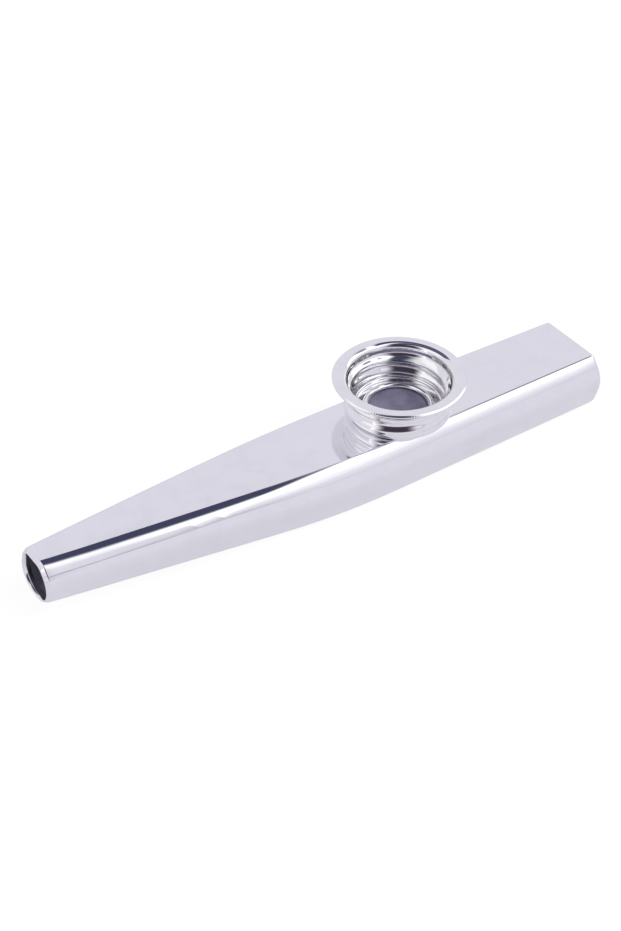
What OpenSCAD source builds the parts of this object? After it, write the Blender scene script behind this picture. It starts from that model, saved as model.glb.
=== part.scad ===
// Metal kazoo: one drawn tube, a threaded socket crimped into its flat top, a loose
// resonator disc of film between two card rings, and a flanged cap that screws down on it.
// Millimetres, Z up. The origin is on the table under the middle of the tube, and X runs
// towards the mouthpiece. The tube lies on the flat underside of its wide half.

/* [Body tube] */
// Length of the tube from end to end
body_len = 119.5; // [100:0.5:150]
// Height of the flattened wide half
body_h = 12; // [11:0.1:15]
// Greatest width, where the taper meets the wide half
body_w = 22.2; // [20:0.1:26]
// Width at the mouthpiece
mouth_w = 19.9; // [18:0.1:26]
// Thickness of the tube's sheet
wall = 0.6; // [0.4:0.05:0.9]
// Distance from the narrow end to the knee where the taper stops
knee_x = 57.3; // [45:0.1:62]
// Half the length over which the underside is rounded at the knee
knee_blend = 9; // [3:0.5:10]
// Half the length over which the sides are rounded at the knee
side_blend = 15; // [6:0.5:18]

/* [Wide section] */
// Width of the flat top at the knee
top_flat_w = 15.2; // [14:0.1:17]
// Radius of the two top edges
top_edge_r = 0.8; // [0.7:0.1:2.2]
// Radius of the bulging sides
side_r = 5.5; // [4:0.1:6]
// Height of the widest line above the table
side_z = 6.4; // [5:0.1:7]
// Width of the flat underside at the knee
base_flat_w = 13.6; // [8:0.1:15]
// Radius of the lower edges
base_edge_r = 3.6; // [2:0.1:4.5]

/* [Narrow end] */
// Outer width of the narrow end
narrow_w = 9.7; // [9:0.1:12]
// Outer height of the narrow end
narrow_h = 8.6; // [8.3:0.1:10.4]
// Width of what is left of the flat top
narrow_flat_w = 3.3; // [1.5:0.1:4]
// Radius of the top edges
narrow_edge_r = 3.3; // [2.5:0.1:3.6]
// Radius of the round underside
narrow_base_r = 4.2; // [3.8:0.1:4.3]
// How far the end is rolled inwards
lip_in = 0.45; // [0.3:0.05:0.6]
// Length of the rolled shoulder
lip_len = 1.8; // [1.2:0.1:3]
// How far behind its front the lip is curled to
lip_back = 0.6; // [0.3:0.05:0.9]
// How far the curled lip stands in from the tube's inner wall
lip_curl = 0.1; // [0:0.05:0.2]
// Angle by which the cut end leans back towards the top
end_lean = 4.6; // [0:0.1:6]

/* [Mouthpiece end] */
// How far the mouthpiece edge is turned in
mouth_lip_in = 0.5; // [0.2:0.05:0.6]
// Length of the turned edge
mouth_lip_len = 0.8; // [0.4:0.05:1.2]

/* [Socket] */
// Distance from the narrow end to the axis of the socket and cap
socket_x = 76.3; // [75:0.1:85]
// Outer radius of the socket on the crests of its thread
socket_r = 10.3; // [9.8:0.1:10.8]
// Height of the socket's lip above the flat top
socket_h = 5.3; // [5:0.1:5.6]
// Sheet thickness of the socket
socket_t = 0.35; // [0.25:0.05:0.4]
// Outer radius of the curl under the lowest crest
foot_r = 1.4; // [1.2:0.1:1.6]
// Outer radius of the eyelet that passes through the tube
eyelet_r = 6.5; // [6.2:0.05:6.6]
// Width of the eyelet's crimped flare inside the tube
flare_w = 0.55; // [0.3:0.05:0.6]

/* [Rolled thread] */
// Rise of the thread in one turn
thread_pitch = 3; // [2.8:0.05:3.2]
// Depth of the rolled groove
thread_depth = 0.8; // [0.5:0.05:0.9]
// Height of the groove above the flat top at the mouthpiece side
thread_start = 1.6; // [1.4:0.05:1.9]
// Radial play between the two threads
thread_gap = 0.2; // [0.15:0.05:0.3]

/* [Screw cap] */
// Diameter of the flange
flange_d = 25.4; // [24:0.1:28]
// Height of the flange's face above the flat top
flange_z = 8; // [7.8:0.1:9.5]
// Thickness of the flange
flange_t = 0.55; // [0.4:0.05:0.7]
// Sheet thickness of the cap
cap_t = 0.35; // [0.25:0.05:0.4]
// Radius of the bend under the flange
neck_bend_r = 1.2; // [0.8:0.1:1.4]
// Radius of the bend at the cap's mouth
mouth_bend_r = 0.8; // [0.4:0.1:1]
// Radius of the corner between the cap's wall and floor
cap_corner_r = 0.9; // [0.6:0.05:1]
// Radius of the hole in the cap's floor
hole_r = 5.6; // [5:0.1:5.8]
// Width of the raised bead round the hole
bead_w = 1.35; // [1:0.05:1.5]
// Height of the bead from the floor's underside
bead_h = 0.8; // [0.6:0.05:1]

/* [Resonator disc] */
// Outer radius of the card rings
ring_r = 8.6; // [8.3:0.05:8.8]
// Inner radius of the card rings
ring_in_r = 6.3; // [6:0.05:6.6]
// Thickness of each card ring
ring_t = 0.15; // [0.1:0.01:0.2]
// Thickness of the film
film_t = 0.04; // [0.02:0.01:0.06]
// How far the film's edge lies inside the rings' edge
film_inset = 0.15; // [0.05:0.05:0.4]
// Play above and below the loose disc
seat_gap = 0.03; // [0.02:0.01:0.05]

/* [Hidden] */

// Smoothness: steps round a half section, round the socket, and of the exact rings
half_steps = 27;
turn_steps = 40;
ring_steps = 96;

// Colours
bright_metal = [0.84, 0.84, 0.88];
turned_metal = [0.8, 0.8, 0.85];
card_colour = [0.86, 0.84, 0.78];
film_colour = [0.62, 0.6, 0.7, 0.8];

// Clearance of the eyelet in its hole, and the overrun of a cut
fit_gap = 0.05;
overrun = 1;

// Positions of the rows of points along the tube, as shares of each stretch
lip_shares = [0, 0.06, 0.2, 0.42, 0.7];
curl_shares = [1, 0.85, 0.5];
taper_shares = [0, 0.33, 0.66];
knee_shares = [0, 0.12, 0.24, 0.36, 0.48, 0.6, 0.72, 0.86];
wide_shares = [0, 0.35, 0.7];
mouth_shares = [0, 0.4, 0.7, 0.9, 1];

// Heights in the socket and the cap, above the flat top
disc_z = socket_t + seat_gap;
film_z = disc_z + ring_t;
upper_z = film_z + film_t;
floor_z = upper_z + ring_t + seat_gap;
cap_r = socket_r - socket_t - thread_gap;
root_r = cap_r - thread_depth;

function mix(a, b, t) = a + (b - a) * t;
function step_between(a, b, v) = min(1, max(0, (v - a) / (b - a)));
function squared(v) = v * v;

// Share of the way from the narrow end's section to the wide one, at distance s. It rises
// steadily up to the knee, and a parabola over the given half length rounds the knee.
function widening(s, half) =
    s < knee_x - half ? s / knee_x :
    s > knee_x + half ? 1 :
    1 - squared(knee_x + half - s) / (4 * half * knee_x);

// Share of the way from the knee's width to the mouthpiece's, at distance s
function tail(s) =
    s < knee_x - knee_blend ? 0 :
    s > knee_x + knee_blend ? (s - knee_x) / (body_len - knee_x) :
    squared(s - knee_x + knee_blend) / (4 * knee_blend * (body_len - knee_x));

// The section at distance s is the hull of three pairs of circles: top edges, sides and
// lower edges. Each circle is [distance from the middle, height, radius].
function section_circles(s) =
    let (t = widening(s, knee_blend),
         w = widening(s, side_blend),
         half_in = tail(s) * (body_w - mouth_w) / 2,
         base_z = mix(body_h - narrow_h, 0, t),
         bulge_z = mix(body_h - narrow_h / 2, side_z, t),
         edge_r = mix(narrow_edge_r, top_edge_r, t),
         bulge_r = min(mix(narrow_h / 2, side_r, t), body_h - bulge_z, bulge_z - base_z),
         low_r = mix(narrow_base_r, base_edge_r, t))
    [[mix(narrow_flat_w, top_flat_w, w) / 2 - half_in, body_h - edge_r, edge_r],
     [mix(narrow_w, body_w, w) / 2 - bulge_r - half_in, bulge_z, bulge_r],
     [mix(narrow_w - 2 * narrow_base_r, base_flat_w, w) / 2 - half_in, base_z + low_r, low_r]];

// How far a point of the tube lies from the narrow end, as the leaning cut moves it
function leaned(s, z) =
    s + tan(end_lean) * (z - body_h + narrow_h) * (1 - step_between(0, narrow_h, s));

// The point of the section whose outward normal stands at angle a, drawn in by inset
function edge_point(circles, a, inset) =
    let (reach = [for (c = circles) c[0] * cos(a) + c[1] * sin(a) + c[2]],
         best = max(reach),
         c = circles[[for (i = [0:len(reach) - 1]) if (reach[i] == best) i][0]])
    [c[0] + (c[2] - inset) * cos(a), c[1] + (c[2] - inset) * sin(a)];

// One closed row of points round the tube at distance s, drawn in by inset
function tube_row(s, inset) =
    let (circles = section_circles(s),
         half = [for (i = [0:half_steps]) edge_point(circles, -90 + 180 * i / half_steps, inset)])
    concat([for (p = half) [leaned(s, p[1]) - body_len / 2, p[0], p[1]]],
           [for (i = [half_steps:-1:0])
               [leaned(s, half[i][1]) - body_len / 2, -half[i][0], half[i][1]]]);

// How far a lip of the given depth and length is rolled in, at distance d from its edge
function lip_inset(d, depth, length) =
    d >= length ? 0 : depth * (1 - sqrt(1 - squared(1 - d / length)));

// A closed skin through rows of points, joined row to row and last to first
module skin(rows) {
    n = len(rows);
    m = len(rows[0]);
    points = [for (row = rows) for (p = row) p];
    faces = [for (i = [0:n - 1]) for (j = [0:m - 1])
        let (a = i * m + j, b = i * m + (j + 1) % m,
             c = ((i + 1) % n) * m + (j + 1) % m, d = ((i + 1) % n) * m + j)
        each [[a, b, c], [a, c, d]]];
    polyhedron(points, faces, convexity = 8);
}

// Share of its depth that the right-hand helical groove has at height z and angle a
function groove(z, a) = (1 + cos(360 * (z - thread_start) / thread_pitch - a)) / 2;

// The skin of a thin sheet turned about the vertical axis. Each profile point is
// [radius, height, share of the thread's depth]. The groove is cut from the radius.
module spun_sheet(profile) {
    skin([for (i = [0:turn_steps - 1])
        let (a = 360 * i / turn_steps)
        [for (p = profile)
            let (r = p[0] - p[2] * thread_depth * groove(p[1], a))
            [r * cos(a), r * sin(a), p[1]]]]);
}

// Points on an arc in a profile, with no thread
function arc(r0, z0, rr, rz, a0, a1, n) =
    [for (i = [0:n]) let (a = mix(a0, a1, i / n)) [r0 + rr * cos(a), z0 + rz * sin(a), 0]];

module tube_shell() {
    taper_a = lip_len;
    taper_b = knee_x - side_blend;
    wide_a = knee_x + side_blend;
    wide_b = body_len - mouth_lip_len;
    lip = [for (k = lip_shares) k * lip_len];
    taper = [for (k = taper_shares) mix(taper_a, taper_b, k)];
    knee = [for (k = knee_shares) mix(taper_b, wide_a, k)];
    wide = [for (k = wide_shares) mix(wide_a, wide_b, k)];
    mouth = [for (k = mouth_shares) mix(wide_b, body_len, k)];
    outer = [for (s = concat(lip, taper, knee, wide, mouth))
        tube_row(s, max(lip_inset(s, lip_in, lip_len),
                        lip_inset(body_len - s, mouth_lip_in, mouth_lip_len)))];
    inner_mouth = [for (k = [0, 0.5, 1]) body_len - mix(mouth_lip_len + wall, wall / 3, k)];
    curl_in = wall + lip_curl - lip_in;
    curl = [for (k = curl_shares)
        tube_row(lip_back * (1 - sqrt(1 - squared(k))), lip_in + curl_in * k)];
    inner = [for (s = concat(taper, knee, wide, inner_mouth))
        tube_row(s, max(wall, wall + lip_inset(body_len - s, mouth_lip_in - wall / 2,
                                               mouth_lip_len)))];
    skin(concat(outer, [for (i = [len(inner) - 1:-1:0]) inner[i]], curl));
}

// Drawn tube, open at both ends, with a round hole in the flat top for the socket
module body_tube() {
    color(bright_metal) difference() {
        tube_shell();
        translate([socket_x - body_len / 2, 0, body_h - wall - overrun])
            cylinder(r = eyelet_r + fit_gap, h = wall + 2 * overrun, $fn = ring_steps);
    }
}

// Everything in the socket stands on the flat top, on the socket's axis
module on_socket() {
    translate([socket_x - body_len / 2, 0, body_h]) children();
}

// Spun socket: rolled thread, curled foot, ledge for the disc, and an eyelet crimped
// under the tube's sheet
module turret_socket() {
    wall_top = socket_h - socket_t / 2;
    fade_top = socket_h - 2 * socket_t;
    fade_low = fade_top - thread_depth;
    inner_r = socket_r - socket_t;
    rows = 15;
    heights = [for (i = [0:rows]) mix(foot_r, wall_top, i / rows)];
    function share_at(z) = min(1 - step_between(fade_low, fade_top, z),
                               step_between(foot_r, foot_r + thread_depth, z));
    bore_r = eyelet_r - socket_t;
    flare_z = -wall - fit_gap;
    outside = [for (z = heights) [socket_r, z, share_at(z)]];
    inside = [for (i = [rows:-1:0]) let (z = heights[i]) [inner_r, z, share_at(z)]];
    profile = concat(
        outside,
        arc(inner_r + socket_t / 2, wall_top, socket_t / 2, socket_t / 2, 45, 135, 2),
        inside,
        arc(socket_r - foot_r, foot_r, foot_r - socket_t, foot_r - socket_t, -22.5, -90, 3),
        arc(bore_r + socket_t, 0, socket_t, socket_t, 90, 180, 3),
        [[bore_r, flare_z, 0], [bore_r + socket_t / 2, flare_z - socket_t, 0],
         [bore_r + flare_w + socket_t, flare_z - socket_t, 0],
         [bore_r + flare_w + socket_t, flare_z, 0], [eyelet_r, flare_z, 0], [eyelet_r, 0, 0]],
        arc(socket_r - foot_r, foot_r, foot_r, foot_r, -90, -15, 5));
    color(turned_metal) on_socket() spun_sheet(profile);
}

// Card ring glued to one side of the film
module card_ring(z) {
    color(card_colour) on_socket() translate([0, 0, z]) difference() {
        cylinder(r = ring_r, h = ring_t, $fn = ring_steps);
        translate([0, 0, -overrun])
            cylinder(r = ring_in_r, h = ring_t + 2 * overrun, $fn = ring_steps);
    }
}

module membrane_ring_lower() { card_ring(disc_z); }

module membrane_ring_upper() { card_ring(upper_z); }

// Taut film that buzzes when someone hums into the mouthpiece
module membrane_film() {
    color(film_colour) on_socket() translate([0, 0, film_z])
        cylinder(r = ring_r - film_inset, h = film_t, $fn = ring_steps);
}

// Spun cap: flange, rolled thread, and a floor with a beaded hole that clamps the disc
module screw_cap() {
    under_flange = flange_z - flange_t;
    neck_top = under_flange - neck_bend_r;
    mouth_low = flange_z - mouth_bend_r;
    wall_low = floor_z + cap_corner_r;
    fade_top = socket_h - thread_depth / 2;
    inner_r = cap_r - cap_t;
    corner_in = cap_corner_r - cap_t;
    edge = flange_t / 6;
    bead_mid = hole_r + bead_w / 2;
    bead_foot = asin(cap_t / bead_h);
    outer_rows = 15;
    inner_rows = 16;
    function low_share(z) = 1 - step_between(wall_low, wall_low + thread_depth, z);
    function top_share(z) = step_between(fade_top, fade_top + thread_depth, z);
    function wall_point(r, z) =
        [r - thread_depth * low_share(z), z, (1 - low_share(z)) * (1 - top_share(z))];
    outside = [for (i = [0:outer_rows]) wall_point(cap_r, mix(wall_low, neck_top, i / outer_rows))];
    inside = [for (i = [inner_rows:-1:0]) wall_point(inner_r, mix(wall_low, mouth_low, i / inner_rows))];
    profile = concat(
        arc(bead_mid, floor_z, bead_w / 2 - cap_t, bead_h - cap_t, 180, 0, 4),
        arc(root_r - cap_corner_r, floor_z + cap_corner_r, cap_corner_r, cap_corner_r, -90, -22.5, 3),
        outside,
        arc(cap_r + neck_bend_r, neck_top, neck_bend_r, neck_bend_r, 157.5, 90, 3),
        [[flange_d / 2 - edge, under_flange, 0], [flange_d / 2, under_flange + edge, 0],
         [flange_d / 2, flange_z - edge, 0], [flange_d / 2 - edge, flange_z, 0]],
        arc(inner_r + mouth_bend_r, mouth_low, mouth_bend_r, mouth_bend_r, 90, 157.5, 3),
        inside,
        arc(root_r - cap_corner_r, floor_z + cap_corner_r, corner_in, corner_in, -30, -90, 2),
        arc(bead_mid, floor_z, bead_w / 2, bead_h, bead_foot, 180, 6));
    color(turned_metal) on_socket() spun_sheet(profile);
}

body_tube();
turret_socket();
membrane_ring_lower();
membrane_film();
membrane_ring_upper();
screw_cap();
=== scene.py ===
import bpy
import numpy as np
from mathutils import Matrix, Vector


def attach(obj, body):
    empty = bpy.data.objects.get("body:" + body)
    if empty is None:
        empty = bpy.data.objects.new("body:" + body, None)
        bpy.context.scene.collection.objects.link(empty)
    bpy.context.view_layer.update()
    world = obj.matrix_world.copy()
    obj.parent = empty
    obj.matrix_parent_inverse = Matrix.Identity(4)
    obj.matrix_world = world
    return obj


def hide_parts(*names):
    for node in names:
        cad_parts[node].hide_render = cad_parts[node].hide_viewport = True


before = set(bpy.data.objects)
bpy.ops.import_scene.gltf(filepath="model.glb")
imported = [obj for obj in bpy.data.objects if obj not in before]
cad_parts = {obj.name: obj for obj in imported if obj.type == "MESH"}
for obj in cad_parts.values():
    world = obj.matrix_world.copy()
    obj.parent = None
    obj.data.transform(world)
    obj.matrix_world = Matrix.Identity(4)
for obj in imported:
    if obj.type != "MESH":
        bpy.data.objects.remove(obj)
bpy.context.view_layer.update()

# Body tube
# One aluminium tube, swaged to a taper and then pressed flat on top and below. The narrow
# end is rolled inwards on a mandrel, and the mouthpiece edge is turned in so that it isn't
# sharp. A round hole in the flat top takes the socket's eyelet.

mm = 0.001
tube_length = 119.5
tube_top = 12.0
sheet = 0.6
# The taper ends at the knee, rounded over a half length on each side in height and in width.
knee_at = 57.3
knee_half = 9.0
side_half = 15.0
# Widths and heights of the section at the narrow end, at the knee and at the mouthpiece.
narrow_wide, knee_wide, mouth_wide = 9.7, 22.2, 19.9
narrow_high = 8.7
narrow_flat, knee_flat = 2.8, 14.7
narrow_foot, knee_foot = 1.6, 13.6
flat_aside, flat_follow = 0.33, 0.7
# Radii of the section's roundings beside the flat top and the foot, and at the side.
narrow_edge_r, knee_edge_r = 3.0, 0.8
narrow_foot_r, knee_foot_r = 4.2, 3.6
knee_side_r = 5.5
facet = np.radians(42.5)
# The narrow end: how its cut leans, the bead, cone and crease of its nose, and its curl. Nose
# and curl are drawn in by one depth and by a little more or less at the top and on each side.
lean, skew, end_gap = np.tan(np.radians(5.2)), 0.06, 0.04
nose_r, crease_r, nose_deep = 0.4, 0.3, 0.8
shoulder_long, shoulder_tilt = 0.81, np.radians(42)
nose_in, nose_in_top = 0.52, 0.25
far_nose_in, near_nose_in = -0.17, 0.2
curl_long, curl_in = 0.8, 0.3
far_curl_in, near_curl_in = 0.3, 0.0
# The mouthpiece edge, turned in and hemmed.
lip_long, lip_deep = 0.8, 0.5
hem_long, hem_deep = 0.16, 0.05
# The hole for the socket, which a punch cuts from above the tube to below its sheet.
socket_at, eyelet_hole = 16.55, 6.55
punch_above, punch_below, punch_points = 1, 2, 128
tube_crease = np.radians(40)


def blend(a, b, share):
    """A straight mix: a where the share is 0, b where it is 1."""
    return a + (b - a) * share


def widening(s, half):
    """Share of the way from the narrow section to the wide one: in proportion to s up to the
    knee, then 1, with a parabola over the half length on each side of the knee."""
    near, far = knee_at - half, knee_at + half
    return np.where(s < near, s / knee_at,
                    np.where(s > far, 1.0, 1 - (far - s) ** 2 / (4 * half * knee_at)))


def tube_sections(s, hand):
    """The three circles that wrap one side of the section at distance s: offsets, heights and
    radii. Each is mixed from the narrow section to the wide one. Past the knee the offsets
    shrink in proportion to s. The middle circle stands where the facet between it and the top
    circle leans by the facet's angle. The flat top lies up to flat_aside towards the +Y side
    near the narrow end, and past the knee it shrinks by flat_follow of what the sides do."""
    high, wide = widening(s, knee_half), widening(s, side_half)
    near, far, rest = knee_at - knee_half, knee_at + knee_half, tube_length - knee_at
    past = np.where(s < near, 0.0, np.where(
        s > far, (s - knee_at) / rest, (s - near) ** 2 / (4 * knee_half * rest)))
    inwards = past * (knee_wide - mouth_wide) / 2
    base = blend(tube_top - narrow_high, 0.0, high)
    edge = blend(narrow_edge_r, knee_edge_r, high ** 3)
    side = blend(narrow_high / 2, knee_side_r, high ** 3)
    foot = blend(narrow_foot_r, knee_foot_r, high)
    flat = (blend(narrow_flat, knee_flat, wide) / 2 - inwards * flat_follow
            + hand * flat_aside * (1 - wide) ** 2)
    middle = blend(narrow_wide, knee_wide, wide) / 2 - side - inwards
    drop = (side - edge + (middle - flat) * np.cos(facet)) / np.sin(facet)
    return [(flat, tube_top - edge, edge),
            (middle, np.minimum(tube_top - edge - drop, tube_top - side), side),
            (blend(narrow_foot, knee_foot, wide) / 2 - inwards, base + foot, foot)]


def tube_wall(s, insets, turn):
    """Points of the wall at distance s, drawn in by an inset for each side. Each has the outward
    normal (cos turn, sin turn): it is the centre of the circle that reaches farthest along that
    normal, plus the normal times the circle's radius less the inset. The other side is made
    the same way and mirrored. The end is cut askew: there s grows with the height and towards
    the -Y side, by end_gap at the foremost point, and this fades out along the tube."""
    sides = []
    for hand, inset in zip((1, -1), insets):
        circles = tube_sections(s, hand)
        reach = np.stack([c * np.cos(turn) + z * np.sin(turn) + r for c, z, r in circles])
        best = reach.argmax(axis=0)
        middle, height, radius = (
            np.choose(best, [np.broadcast_to(k, best.shape) for k in part])
            for part in zip(*circles))
        sides.append((hand * (middle + (radius - inset) * np.cos(turn)),
                      height + (radius - inset) * np.sin(turn)))
    across = np.concatenate([sides[0][0], sides[1][0][:, ::-1]], axis=1)
    up = np.concatenate([sides[0][1], sides[1][1][:, ::-1]], axis=1)
    askew = lean * up - skew * across
    s = s + (askew - askew[0].min() + end_gap) * np.clip(1 - s / narrow_high, 0, 1)
    return np.stack([s - tube_length / 2, across, up], axis=-1)


def ring_mesh(name, grid):
    """A closed mesh through a grid of points that joins up with itself both ways, like the skin
    of a ring: face (i, j) joins points (i, j), (i+1, j), (i+1, j+1) and (i, j+1)."""
    n, m = grid.shape[:2]
    i, j = np.meshgrid(np.arange(n), np.arange(m), indexing="ij")
    corners = [((i + a) % n) * m + (j + b) % m for a, b in ((0, 0), (1, 0), (1, 1), (0, 1))]
    mesh = bpy.data.meshes.new(name)
    mesh.from_pydata((grid.reshape(-1, 3) * mm).tolist(), [],
                     np.stack(corners, axis=-1).reshape(-1, 4).tolist())
    piece = bpy.data.objects.new(name, mesh)
    bpy.context.scene.collection.objects.link(piece)
    mesh.shade_smooth()
    return piece


class Wire:
    """An output of a shader node. + - * / and abs() on wires and numbers add Math nodes."""

    def __init__(self, tree, out=None):
        self.tree, self.out = tree, out

    def feed(self, node, sockets):
        """Gives each named socket of a node its value, or links a wire to it."""
        for key, value in sockets.items():
            if isinstance(value, Wire):
                self.tree.links.new(value.out, node.inputs[key])
            else:
                node.inputs[key].default_value = value

    def node(self, kind, sockets=None, out=0, **settings):
        """Adds a node: its settings first, then the value or wire of each socket."""
        made = self.tree.nodes.new(kind)
        for key, value in settings.items():
            setattr(made, key, value)
        self.feed(made, sockets or {})
        return Wire(self.tree, made.outputs[out]) if made.outputs else None

    def parts(self):
        """The x, y and z of a vector, as three wires."""
        split = self.node("ShaderNodeSeparateXYZ", {0: self})
        return [Wire(self.tree, out) for out in split.out.node.outputs]

    def maths(self, operation, a, b=0.0):
        """A Math node on one or two values or wires."""
        return self.node("ShaderNodeMath", {0: a, 1: b}, operation=operation)

    def step(self, low, high):
        """0 below low and 1 above high, with a smooth rise between."""
        return self.node("ShaderNodeMapRange", {"Value": self, "From Min": low, "From Max": high},
                         interpolation_type="SMOOTHSTEP")

    def band(self, rise, fall):
        """1 between two edges and 0 outside: a step over the rise times 1 less one over the
        fall."""
        return self.step(*rise) * (1 - self.step(*fall))

    def __add__(self, other):
        return self.maths("ADD", self, other)

    def __sub__(self, other):
        return self.maths("SUBTRACT", self, other)

    def __rsub__(self, other):
        return self.maths("SUBTRACT", other, self)

    def __mul__(self, other):
        return self.maths("MULTIPLY", self, other)

    def __truediv__(self, other):
        return self.maths("DIVIDE", self, other)

    def __rtruediv__(self, other):
        return self.maths("DIVIDE", other, self)

    def __abs__(self):
        return self.maths("ABSOLUTE", self)

    __radd__, __rmul__ = __add__, __mul__


def new_material(name):
    """An empty material, its shader, and a wire that carries Object coordinates."""
    material = bpy.data.materials.new(name)
    material.use_nodes = True
    shader = material.node_tree.nodes["Principled BSDF"]
    return material, shader, Wire(material.node_tree).node("ShaderNodeTexCoord", out="Object")


def colour_mix(share, a, b):
    """A colour between a and b."""
    return share.node("ShaderNodeMix", {0: share, 6: a, 7: b}, out=2, data_type="RGBA")


def noise(place, scale, detail, roughness=0.5):
    """Soft noise around a half, with about scale waves to each unit of the place."""
    return place.node("ShaderNodeTexNoise", {"Vector": place, "Scale": scale, "Detail": detail,
                                             "Roughness": roughness})


def bump(height, distance, under=None):
    """The surface's normal, tilted as if a height of 1 stood out by the distance in metres. It
    may lie over another such relief."""
    relief = {"Height": height, "Distance": distance, "Strength": 1.0}
    if under:
        relief["Normal"] = under
    return height.node("ShaderNodeBump", relief)


def polished_tube():
    """Bright drawn aluminium: fine lines along the tube, slow waves left by the press, and a
    haze of handling that dulls the shine in patches."""
    material, shader, place = new_material("bright drawn aluminium")
    drawn = place.node("ShaderNodeMapping", {"Vector": place, "Scale": (90, 5200, 5200)})
    lines = noise(drawn, 1.0, 3.0)
    waves = noise(place, 95.0, 1.0)
    patch = noise(place, 230.0, 5.0, roughness=0.6).step(0.42, 0.7)
    place.feed(shader, {
        "Base Color": colour_mix(patch, (0.91, 0.905, 0.93, 1), (0.885, 0.88, 0.91, 1)),
        "Roughness": 0.055 + patch * 0.03 + lines * 0.02,
        "Metallic": 1.0,
        "Normal": bump(lines, 0.0000012, under=bump(waves, 0.00001))})
    return material


def inside_with_painted_shade():
    """Aluminium inside the tube, streaked along the draw and soft in shine like unpolished sheet;
    its dark bluish grey base colour is painted shade of the tube's inside.
    """
    material, shader, place = new_material("drawn aluminium inside, painted shade")
    drawn = place.node("ShaderNodeMapping", {"Vector": place, "Scale": (60, 2600, 2600)})
    streaks = noise(drawn, 1.0, 4.0)
    # The base colour's dark bluish grey is painted shade inside the tube, darker than the metal's
    # own colour.
    place.feed(shader, {
        "Base Color": colour_mix(streaks.step(0.3, 0.7), (0.36, 0.36, 0.42, 1),
                                 (0.5, 0.5, 0.58, 1)),
        "Roughness": 0.32 + streaks * 0.16,
        "Metallic": 0.5,
        "Normal": bump(streaks, 0.00001)})
    return material


# The wall runs from the nose along the outside to the mouthpiece, round its hem, back along
# the inside and out again in the curl of the narrow end. Each part gives distances s, and how
# far the wall is drawn in there.
bead = np.linspace(np.pi / 2, shoulder_tilt, 9)
crease = np.linspace(shoulder_tilt, 0, 11)
shoulder_s = np.concatenate([nose_r * (1 - np.sin(bead)),
                             shoulder_long - crease_r * np.sin(crease)])
shoulder_in = np.concatenate([nose_deep - nose_r * np.cos(bead),
                              crease_r * (1 - np.cos(crease))]) / nose_deep
straight_s = np.concatenate([np.linspace(shoulder_long, knee_at - side_half, 26)[1:],
                             np.linspace(knee_at - side_half, knee_at + side_half, 60)[1:],
                             np.linspace(knee_at + side_half, tube_length - lip_long, 22)[1:-1]])
quarter = np.linspace(np.pi / 2, 0, 13)
lip_s = tube_length - lip_long * (1 - np.cos(quarter))
lip_in = lip_deep * (1 - np.sin(quarter))
outer_s = np.concatenate([shoulder_s, straight_s, lip_s])
outer_in = np.concatenate([0 * shoulder_s, 0 * straight_s, lip_in])
hem = np.linspace(0, np.pi, 9)[1:]
hem_s = tube_length - hem_long * (1 - np.cos(hem)) / 2
hem_in = lip_deep + hem_deep * np.sin(hem)
inside_s = np.concatenate([np.linspace(tube_length - lip_long, knee_at + side_half, 14),
                           np.linspace(knee_at + side_half, knee_at - side_half, 31)[1:],
                           np.linspace(knee_at - side_half, shoulder_long + sheet, 14)[1:]])
curl = np.linspace(np.pi / 2, 0, 11)[:-1]
curl_s = curl_long * (1 - np.cos(curl))
wall_s = np.concatenate([outer_s, hem_s, inside_s, curl_s])
wall_in = np.concatenate([outer_in, hem_in, 0 * inside_s + sheet, 0 * curl])[:, None]

# At each distance, shoulder is the share of the nose's depth and curled that of the curl's.
# The normals run from straight down to straight up, on each side.
shoulder = np.concatenate([shoulder_in, 0 * wall_s[len(shoulder_s):-len(curl)],
                           0 * curl + 1])[:, None]
curled = np.concatenate([0 * wall_s[:-len(curl)], np.sin(curl)])[:, None]
normals = np.radians(np.linspace(-90, 90, 121))[None, :]
far_in, near_in = (
    wall_in + curled * (curl_in + more_curl * np.cos(normals))
    + shoulder * (nose_in + nose_in_top * np.sin(normals) + more_nose * np.cos(normals) ** 2)
    for more_nose, more_curl in ((far_nose_in, far_curl_in), (near_nose_in, near_curl_in)))
tube = ring_mesh("tube", tube_wall(wall_s[:, None], (far_in, near_in), normals))

# Faces inside the tube take the second material, whose dark colour paints the shade inside the tube.
hidden = np.zeros((len(wall_s), 2 * normals.size), dtype=np.int32)
hidden[len(outer_s) + len(hem_s):-len(curl) - 1] = 1
tube.data.materials.append(polished_tube())
tube.data.materials.append(inside_with_painted_shade())
tube.data.polygons.foreach_set("material_index", hidden.ravel())

# The socket's hole is cut by a punch, a closed disc of two rims joined by a wall.
punch = bpy.data.meshes.new("punch")
around = np.linspace(0, 2 * np.pi, punch_points + 1)[:-1]
rim = np.stack([socket_at + eyelet_hole * np.cos(around), eyelet_hole * np.sin(around)], axis=-1)
rims = np.concatenate([np.insert(rim, 2, tube_top + punch_above, axis=1),
                       np.insert(rim, 2, tube_top - punch_below, axis=1)]) * mm
upper = np.arange(punch_points)
lower = upper + punch_points
walls = np.stack([upper, lower, np.roll(lower, -1), np.roll(upper, -1)], axis=-1)
punch.from_pydata(rims.tolist(), [], walls.tolist() + [upper.tolist(), lower[::-1].tolist()])
cutter = bpy.data.objects.new("punch", punch)
bpy.context.scene.collection.objects.link(cutter)
cut = tube.modifiers.new("hole", "BOOLEAN")
cut.operation, cut.solver, cut.object = "DIFFERENCE", "EXACT", cutter
punched = bpy.data.meshes.new_from_object(
    tube.evaluated_get(bpy.context.evaluated_depsgraph_get()))
tube.modifiers.clear()
tube.data = punched
punched.set_sharp_from_angle(angle=tube_crease)
bpy.data.objects.remove(cutter)
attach(tube, "kazoo_body")
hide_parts("body_tube")

# Turret socket
# Spun from thin sheet: a wall with a rolled right-hand thread, curled in at its foot to a
# ledge, and drawn down to an eyelet. The eyelet passes through the tube's hole and is
# crimped outwards under the sheet, which holds the socket for good.

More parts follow.
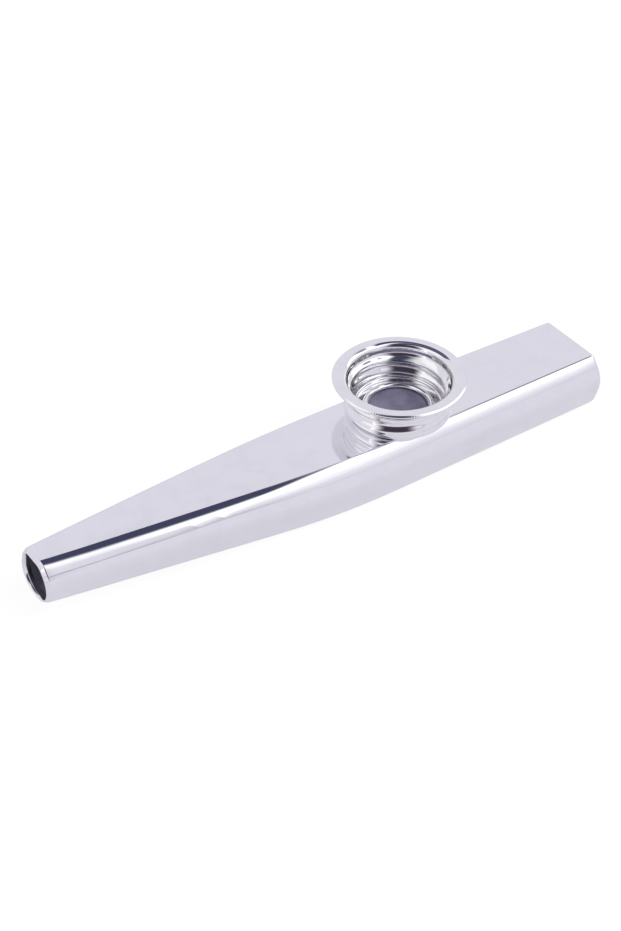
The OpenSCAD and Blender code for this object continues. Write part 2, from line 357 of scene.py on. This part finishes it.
socket_r, socket_tall, socket_sheet, foot_r = 10.3, 5.3, 0.35, 1.4
eyelet_r, eyelet_play, flare = 6.5, 0.05, 0.55
pitch, groove_deep, groove_start, play = 3.0, 0.8, 1.6, 0.2
socket_columns, socket_crease = 288, np.radians(45)


def ramp_between(low, high, v):
    """0 below low, 1 above high, and in proportion between."""
    return np.clip((v - low) / (high - low), 0, 1)


def arc_points(r0, z0, rr, rz, a0, a1, count):
    """Profile points on an elliptic arc about (r0, z0), from angle a0 to a1, without thread:
    r0 plus rr times the cosine, and z0 plus rz times the sine."""
    a = np.radians(np.linspace(a0, a1, count))
    return np.stack([r0 + rr * np.cos(a), z0 + rz * np.sin(a), 0 * a], axis=-1)


def spun(name, profile, columns, notch=None):
    """A sheet profile carried round the socket's axis. Each profile point is (radius, height,
    share of thread): the radius loses that share of the groove's depth times half of one plus
    the cosine of the height's phase less the angle, which winds the groove into a helix. A
    notch function may take a little more off the radius."""
    a = np.linspace(0, 2 * np.pi, columns + 1)[:-1, None]
    r, z, share = profile.T[:, None, :]
    helix = (1 + np.cos(2 * np.pi * (z - groove_start) / pitch - a)) / 2
    r = r - share * groove_deep * helix
    if notch:
        r = r - notch(r, np.arange(columns)[:, None])
    z = np.broadcast_to(z, r.shape)
    grid = np.stack([socket_at + r * np.cos(a), r * np.sin(a), tube_top + z], axis=-1)
    return ring_mesh(name, grid)


inner_r = socket_r - socket_sheet
half_sheet = socket_sheet / 2
lip_z = socket_tall - half_sheet
bore = eyelet_r - socket_sheet
flare_r = bore + flare + socket_sheet
flare_z = -sheet - eyelet_play
climb = np.linspace(foot_r, lip_z, 70)
fade = np.minimum(1 - ramp_between(socket_tall - 2 * socket_sheet - groove_deep,
                                   socket_tall - 2 * socket_sheet, climb),
                  ramp_between(foot_r, foot_r + groove_deep, climb))
outside = np.stack([0 * climb + socket_r, climb, fade], axis=-1)
inside = np.stack([0 * climb + inner_r, climb, fade], axis=-1)[::-1]
socket_profile = np.concatenate([
    outside,
    arc_points(inner_r + half_sheet, lip_z, half_sheet, half_sheet, 15, 165, 9),
    inside,
    arc_points(socket_r - foot_r, foot_r, foot_r - socket_sheet, foot_r - socket_sheet,
               -6, -90, 12),
    arc_points(bore + socket_sheet, 0, socket_sheet, socket_sheet, 90, 180, 8),
    [[bore, flare_z, 0], [bore + half_sheet, flare_z - socket_sheet, 0],
     [flare_r, flare_z - socket_sheet, 0], [flare_r, flare_z, 0],
     [eyelet_r, flare_z, 0], [eyelet_r, 0, 0]],
    arc_points(socket_r - foot_r, foot_r, foot_r, foot_r, -90, -4, 14)])
socket = spun("threaded_socket", socket_profile, socket_columns)
socket.data.set_sharp_from_angle(angle=socket_crease)


def about_axis(place):
    """Object coordinates moved to the socket's axis: x, y, z and the distance from the axis,
    which is the root of x squared plus y squared."""
    centred = place.node("ShaderNodeMapping",
                         {"Vector": place, "Location": (-socket_at * mm, 0, 0)})
    x, y, z = centred.parts()
    return x, y, z, place.maths("SQRT", x * x + y * y)


def spun_metal(name, bright, dim, line_depth):
    """Bright spun aluminium: fine rings left by the spinning tool, which run round the axis,
    and a haze of handling."""
    material, shader, place = new_material(name)
    _, y, z, radius = about_axis(place)
    tool = place.node("ShaderNodeCombineXYZ", {0: radius * 6500, 1: z * 6500, 2: y * 25})
    rings = noise(tool, 1.0, 2.0)
    patch = noise(place, 420.0, 5.0).step(0.42, 0.7)
    place.feed(shader, {
        "Base Color": colour_mix(patch, bright, dim),
        "Roughness": 0.045 + patch * 0.03 + rings * 0.03,
        "Metallic": 1.0,
        "Normal": bump(rings, line_depth)})
    return material


socket.data.materials.append(spun_metal("bright spun aluminium", (0.91, 0.905, 0.925, 1),
                                        (0.88, 0.875, 0.9, 1), 0.0000015))
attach(socket, "kazoo_body")
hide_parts("turret_socket")

# Resonator disc
# A taut film between two thin card rings, glued to them, and loose on the socket's ledge.
# The card is off-white with short fibres. The film is thin, cloudy and a little puckered.

card_thick, film_thick, disc_play = 0.15, 0.04, 0.03


def card():
    """Off-white card: short crossing fibres in the colour and the surface, dull all over."""
    material, shader, place = new_material("off-white card")
    fibres = [noise(place.node("ShaderNodeMapping", {"Vector": place, "Rotation": (0, 0, turn),
                                                     "Scale": (700, 5200, 5200)}), 1.0, 2.0)
              for turn in (0.4, 1.9, 2.8)]
    felt = (fibres[0] + fibres[1] + fibres[2]) / 3
    place.feed(shader, {
        "Base Color": colour_mix(felt.step(0.38, 0.62), (0.62, 0.58, 0.5, 1),
                                 (0.8, 0.77, 0.69, 1)),
        "Roughness": 0.75 + felt * 0.2,
        "Normal": bump(felt, 0.00004)})
    return material


def cloudy_film():
    """Thin cloudy film: grey violet, with puckers that run in from its glued edge and die out
    towards the middle, and faint streaks of milkiness."""
    material, shader, place = new_material("thin cloudy film")
    x, y, _, radius = about_axis(place)
    angle = place.maths("ARCTAN2", y, x)
    ray = place.node("ShaderNodeCombineXYZ", {0: place.maths("COSINE", angle) * 5,
                                              1: place.maths("SINE", angle) * 5, 2: radius * 90})
    puckers = noise(ray, 1.0, 2.0)
    milk = noise(place, 260.0, 4.0).step(0.35, 0.7)
    place.feed(shader, {
        "Base Color": colour_mix(milk, (0.2, 0.185, 0.28, 1), (0.29, 0.275, 0.38, 1)),
        "Roughness": 0.3 + milk * 0.15,
        "Alpha": 0.86 + milk * 0.08,
        "Normal": bump(puckers * radius.step(0.001, 0.0055), 0.00012)})
    return material


card_look, film_look = card(), cloudy_film()
for node_name, look in (("membrane_ring_lower", card_look), ("membrane_film", film_look),
                        ("membrane_ring_upper", card_look)):
    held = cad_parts[node_name]
    held.data.materials.clear()
    held.data.materials.append(look)

# Screw cap
# Spun from thin sheet: a wide flange with a knurled edge for a good grip, a wall rolled to
# the socket's thread, and a floor with a hole whose edge is curled into a raised bead. It
# screws down until the floor clamps the resonator disc.

flange_r, flange_z, flange_thick, cap_sheet = 12.7, 8.0, 0.55, 0.35
neck_bend, mouth_bend, corner, neck_out = 1.1, 1.25, 0.9, 0.5
hole_r, bead_wide, bead_tall = 5.6, 1.35, 0.8
bevel, tooth_deep, tooth_every = 0.26, 0.05, 3
cap_columns, cap_crease = 480, np.radians(32)
# Extra points: ease softens the bevel's two edges, and hold keeps a flat face flat by a bend.
ease, hold = 0.04, 0.08

floor_z = socket_sheet + disc_play + card_thick + film_thick + card_thick + disc_play
cap_r = socket_r - socket_sheet - play
cap_inner, root_r = cap_r - cap_sheet, cap_r - groove_deep
neck_top, mouth_low = flange_z - flange_thick - neck_bend, flange_z - mouth_bend
wall_low = floor_z + corner
fade_top = socket_tall - groove_deep / 2


def cap_wall(r, z):
    """Profile points of the cap's wall: full thread in the middle, faded to the groove's root
    at the floor and to the crest at the flange. Above the socket it widens by neck_out, along
    half a cosine wave."""
    low = 1 - ramp_between(wall_low, wall_low + groove_deep, z)
    high = ramp_between(fade_top, fade_top + groove_deep, z)
    wider = neck_out * (1 - np.cos(np.pi * ramp_between(socket_tall, neck_top, z))) / 2
    return np.stack([r - groove_deep * low + wider, z, (1 - low) * (1 - high)], axis=-1)


def knurl(r, column):
    """Fine teeth round the flange's edge: one column in tooth_every is cut in by up to
    tooth_deep, in proportion to how far out the point lies on the bevel."""
    return tooth_deep * ramp_between(flange_r - bevel, flange_r, r) * (column % tooth_every == 0)


bead_mid = hole_r + bead_wide / 2
bead_foot = np.degrees(np.arcsin(cap_sheet / bead_tall))
edge_r = flange_thick / 5
neck_mid = cap_r + neck_out + neck_bend
mouth_mid = cap_inner + neck_out + mouth_bend
under_z = flange_z - flange_thick
bevel_r = flange_r - bevel
cap_profile = np.concatenate([
    arc_points(bead_mid, floor_z, bead_wide / 2 - cap_sheet, bead_tall - cap_sheet, 180, 0, 12),
    arc_points(root_r - corner, floor_z + corner, corner, corner, -90, -6, 10),
    cap_wall(cap_r, np.linspace(wall_low, neck_top, 52)),
    arc_points(neck_mid, neck_top, neck_bend, neck_bend, 176, 90, 14),
    [[neck_mid + hold, under_z, 0], [flange_r - edge_r - hold, under_z, 0]],
    arc_points(flange_r - edge_r, under_z + edge_r, edge_r, edge_r, -90, 0, 5),
    [[flange_r, flange_z - bevel, 0], [flange_r - ease, flange_z - bevel + ease, 0],
     [bevel_r + ease, flange_z - ease, 0], [bevel_r - ease / 2, flange_z, 0],
     [bevel_r - ease / 2 - hold, flange_z, 0], [mouth_mid + hold, flange_z, 0]],
    arc_points(mouth_mid, mouth_low, mouth_bend, mouth_bend, 90, 176, 16),
    cap_wall(cap_inner, np.linspace(mouth_low, wall_low, 56)),
    arc_points(root_r - corner, floor_z + corner, corner - cap_sheet, corner - cap_sheet,
               -8, -90, 8),
    arc_points(bead_mid, floor_z, bead_wide / 2, bead_tall, bead_foot, 180, 18)[:-1]])
cap = spun("flanged_cap", cap_profile, cap_columns, knurl)
cap.data.set_sharp_from_angle(angle=cap_crease)
cap.data.materials.append(spun_metal("bright spun aluminium, cap", (0.92, 0.915, 0.93, 1),
                                     (0.89, 0.885, 0.905, 1), 0.000002))
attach(cap, "cap")
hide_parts("screw_cap")

# Floor, light and camera
# A white floor in a plain pale room, which the metal mirrors: a large soft window with a dark
# sill on the viewer's side, a smaller window on the left, a dark ceiling, and a dark backdrop
# behind the camera. A soft lamp adds the shadow on the floor.

floor_reach = 3.0
floor_mesh = bpy.data.meshes.new("floor")
floor_mesh.from_pydata([(-floor_reach, -floor_reach, 0), (floor_reach, -floor_reach, 0),
                        (floor_reach, floor_reach, 0), (-floor_reach, floor_reach, 0)],
                       [], [(0, 1, 2, 3)])
floor = bpy.data.objects.new("floor", floor_mesh)
bpy.context.scene.collection.objects.link(floor)
floor_look = bpy.data.materials.new("white floor")
floor_look.use_nodes = True
floor_look.node_tree.nodes.clear()
wire = Wire(floor_look.node_tree)
seen = wire.node("ShaderNodeLightPath", out="Is Camera Ray")
mirrored = (wire.node("ShaderNodeLightPath", out="Is Glossy Ray")
            + wire.node("ShaderNodeLightPath", out="Is Transmission Ray"))
chalk = wire.node("ShaderNodeBsdfDiffuse", {"Color": (0.82, 0.82, 0.84, 1)})
paper = wire.node("ShaderNodeEmission", {
    "Color": colour_mix(seen, (0.76, 0.755, 0.83, 1), (1.06, 1.06, 1.06, 1)), "Strength": 1.0})
# To the camera the floor is mostly plain bright paper, and in the metal it is partly so.
paper_share = seen * 0.88 + mirrored * 0.45
mixed = wire.node("ShaderNodeMixShader", {0: paper_share, 1: chalk, 2: paper})
wire.node("ShaderNodeOutputMaterial", {"Surface": mixed})
floor_mesh.materials.append(floor_look)

world = bpy.data.worlds.new("white studio")
bpy.context.scene.world = world
world.use_nodes = True
world.node_tree.nodes.clear()
wire = Wire(world.node_tree)

# Each direction is taken as a point of a ceiling one unit up: over_x grows towards the
# mouthpiece and over_y away from the viewer. The ceiling and the windows are masks on these.
horizon = 0.02
ceiling_end = (0.88, 0.95)
east, north, height = wire.node("ShaderNodeTexCoord", out="Generated").parts()
above = height.step(horizon, 0.1)
over_x, over_y = (part / wire.maths("MAXIMUM", height, horizon) for part in (east, north))
ceiling = (above * (1 - over_y.step(*ceiling_end)) * (over_y + over_x * 1.6).step(-0.2, 0.25)
           * (1 - (over_x - over_y * 0.15).step(0.36, 0.48)) * over_x.step(-0.05, 0.06))
overhead = above * over_y.band((-1.1, -0.5), ceiling_end) * over_x.band((-0.75, -0.35), (-0.1, 0.07))
far_ceiling = above * over_y.band((-0.6, -0.4), (0.15, 0.35)) * over_x.band((0.54, 0.62), (0.8, 1.1))
left_window = above * over_y.band((-0.4, 0.0), (0.9, 1.1)) * over_x.band((-2.2, -1.6), (-0.7, -0.55))

# The large window and its sill slant down towards the narrow end of the object, where the
# window's edge is also hazier.
slant_from, window_foot, sill_foot = 0.36, 1.3, 1.4
slant = wire.maths("MAXIMUM", slant_from - over_x, 0.0)
into_window = over_y + window_foot + wire.maths("MINIMUM", slant * 3.2, 0.18)
window_haze = 0.2 + wire.maths("MINIMUM", slant * slant, 0.04) * 45
window = above * (1 - over_y.step(-0.1, 0.2)) * (into_window / window_haze).step(0, 1)
from_sill = ((over_y + sill_foot + wire.maths("MINIMUM", slant * 4.5, 0.32))
             * (1 + wire.maths("MINIMUM", slant, 0.2) * 5))
sill = above * (1 - abs(from_sill).step(0.05, 0.4)) * (0.06 + 0.46 * (1 - over_x.step(0, 0.7)))

# The backdrop stands behind the camera, in the direction that backdrop_way gives.
backdrop_way = (-0.695, -0.719)
level = wire.maths("SQRT", east * east + north * north)
facing = (east * backdrop_way[0] + north * backdrop_way[1]) / level
backdrop = facing.step(0.66, 0.93) * height.band((0.2, 0.35), (0.8, 0.88))
backdrop_colour = colour_mix(height.step(0.45, 0.6), (0.11, 0.06, 0.075, 1),
                             (0.04, 0.04, 0.06, 1))

# The pale walls are the first colour, each area lies over those before it, and what the
# camera itself sees beyond the floor is white.
room = (0.77, 0.755, 0.83, 1)
for area, colour in ((window, (1.5, 1.5, 1.52, 1)), (left_window, (1.0, 0.99, 1.0, 1)),
                     (sill, (0.0, 0.0, 0.02, 1)), (far_ceiling, (0.3, 0.3, 0.34, 1)),
                     (ceiling, (0.055, 0.06, 0.11, 1)), (overhead, (0.055, 0.06, 0.11, 1)),
                     (backdrop, backdrop_colour),
                     (wire.node("ShaderNodeLightPath", out="Is Camera Ray"), (1, 1, 1, 1))):
    room = colour_mix(area, room, colour)
sky = wire.node("ShaderNodeBackground", {"Color": room, "Strength": 1.0})
wire.node("ShaderNodeOutputWorld", {"Surface": sky})

# The metal doesn't mirror the lamp.
lamp_place = Vector((0.3, -0.45, 0.75))
lamp_data = bpy.data.lights.new("soft light", "AREA")
lamp_data.shape, lamp_data.size, lamp_data.energy = "DISK", 0.5, 3.0
lamp = bpy.data.objects.new("soft light", lamp_data)
bpy.context.scene.collection.objects.link(lamp)
lamp.location = lamp_place
lamp.rotation_euler = lamp_place.to_track_quat("Z", "Y").to_euler()
lamp.visible_glossy = False

# The camera stands where the outline and the ellipse of the flange put it. Its focal length
# is in pixels of a photograph of this height.
photo_high = 931
focal_px = 1401.784
sensor = 36.0
aim = Vector((-0.00329, 0, 0.006935))
distance = 0.262529
turn, rise, roll = np.radians((-32.333, 40.207, -0.355))
back = Vector((np.sin(turn) * np.cos(rise), -np.cos(turn) * np.cos(rise), np.sin(rise)))
right = (-back).cross(Vector((0, 0, 1))).normalized()
up = right.cross(-back)
side = right * np.cos(roll) + up * np.sin(roll)
top = up * np.cos(roll) - right * np.sin(roll)
camera_data = bpy.data.cameras.new("camera")
camera_data.sensor_fit, camera_data.sensor_width = "AUTO", sensor
camera_data.lens = focal_px * sensor / photo_high
camera_data.clip_start, camera_data.clip_end = 0.01, 20
camera = bpy.data.objects.new("camera", camera_data)
bpy.context.scene.collection.objects.link(camera)
camera.matrix_world = (Matrix.Translation(aim + back * distance)
                       @ Matrix((side, top, back)).transposed().to_4x4())
bpy.context.scene.camera = camera
bpy.context.scene.view_settings.view_transform = "Standard"
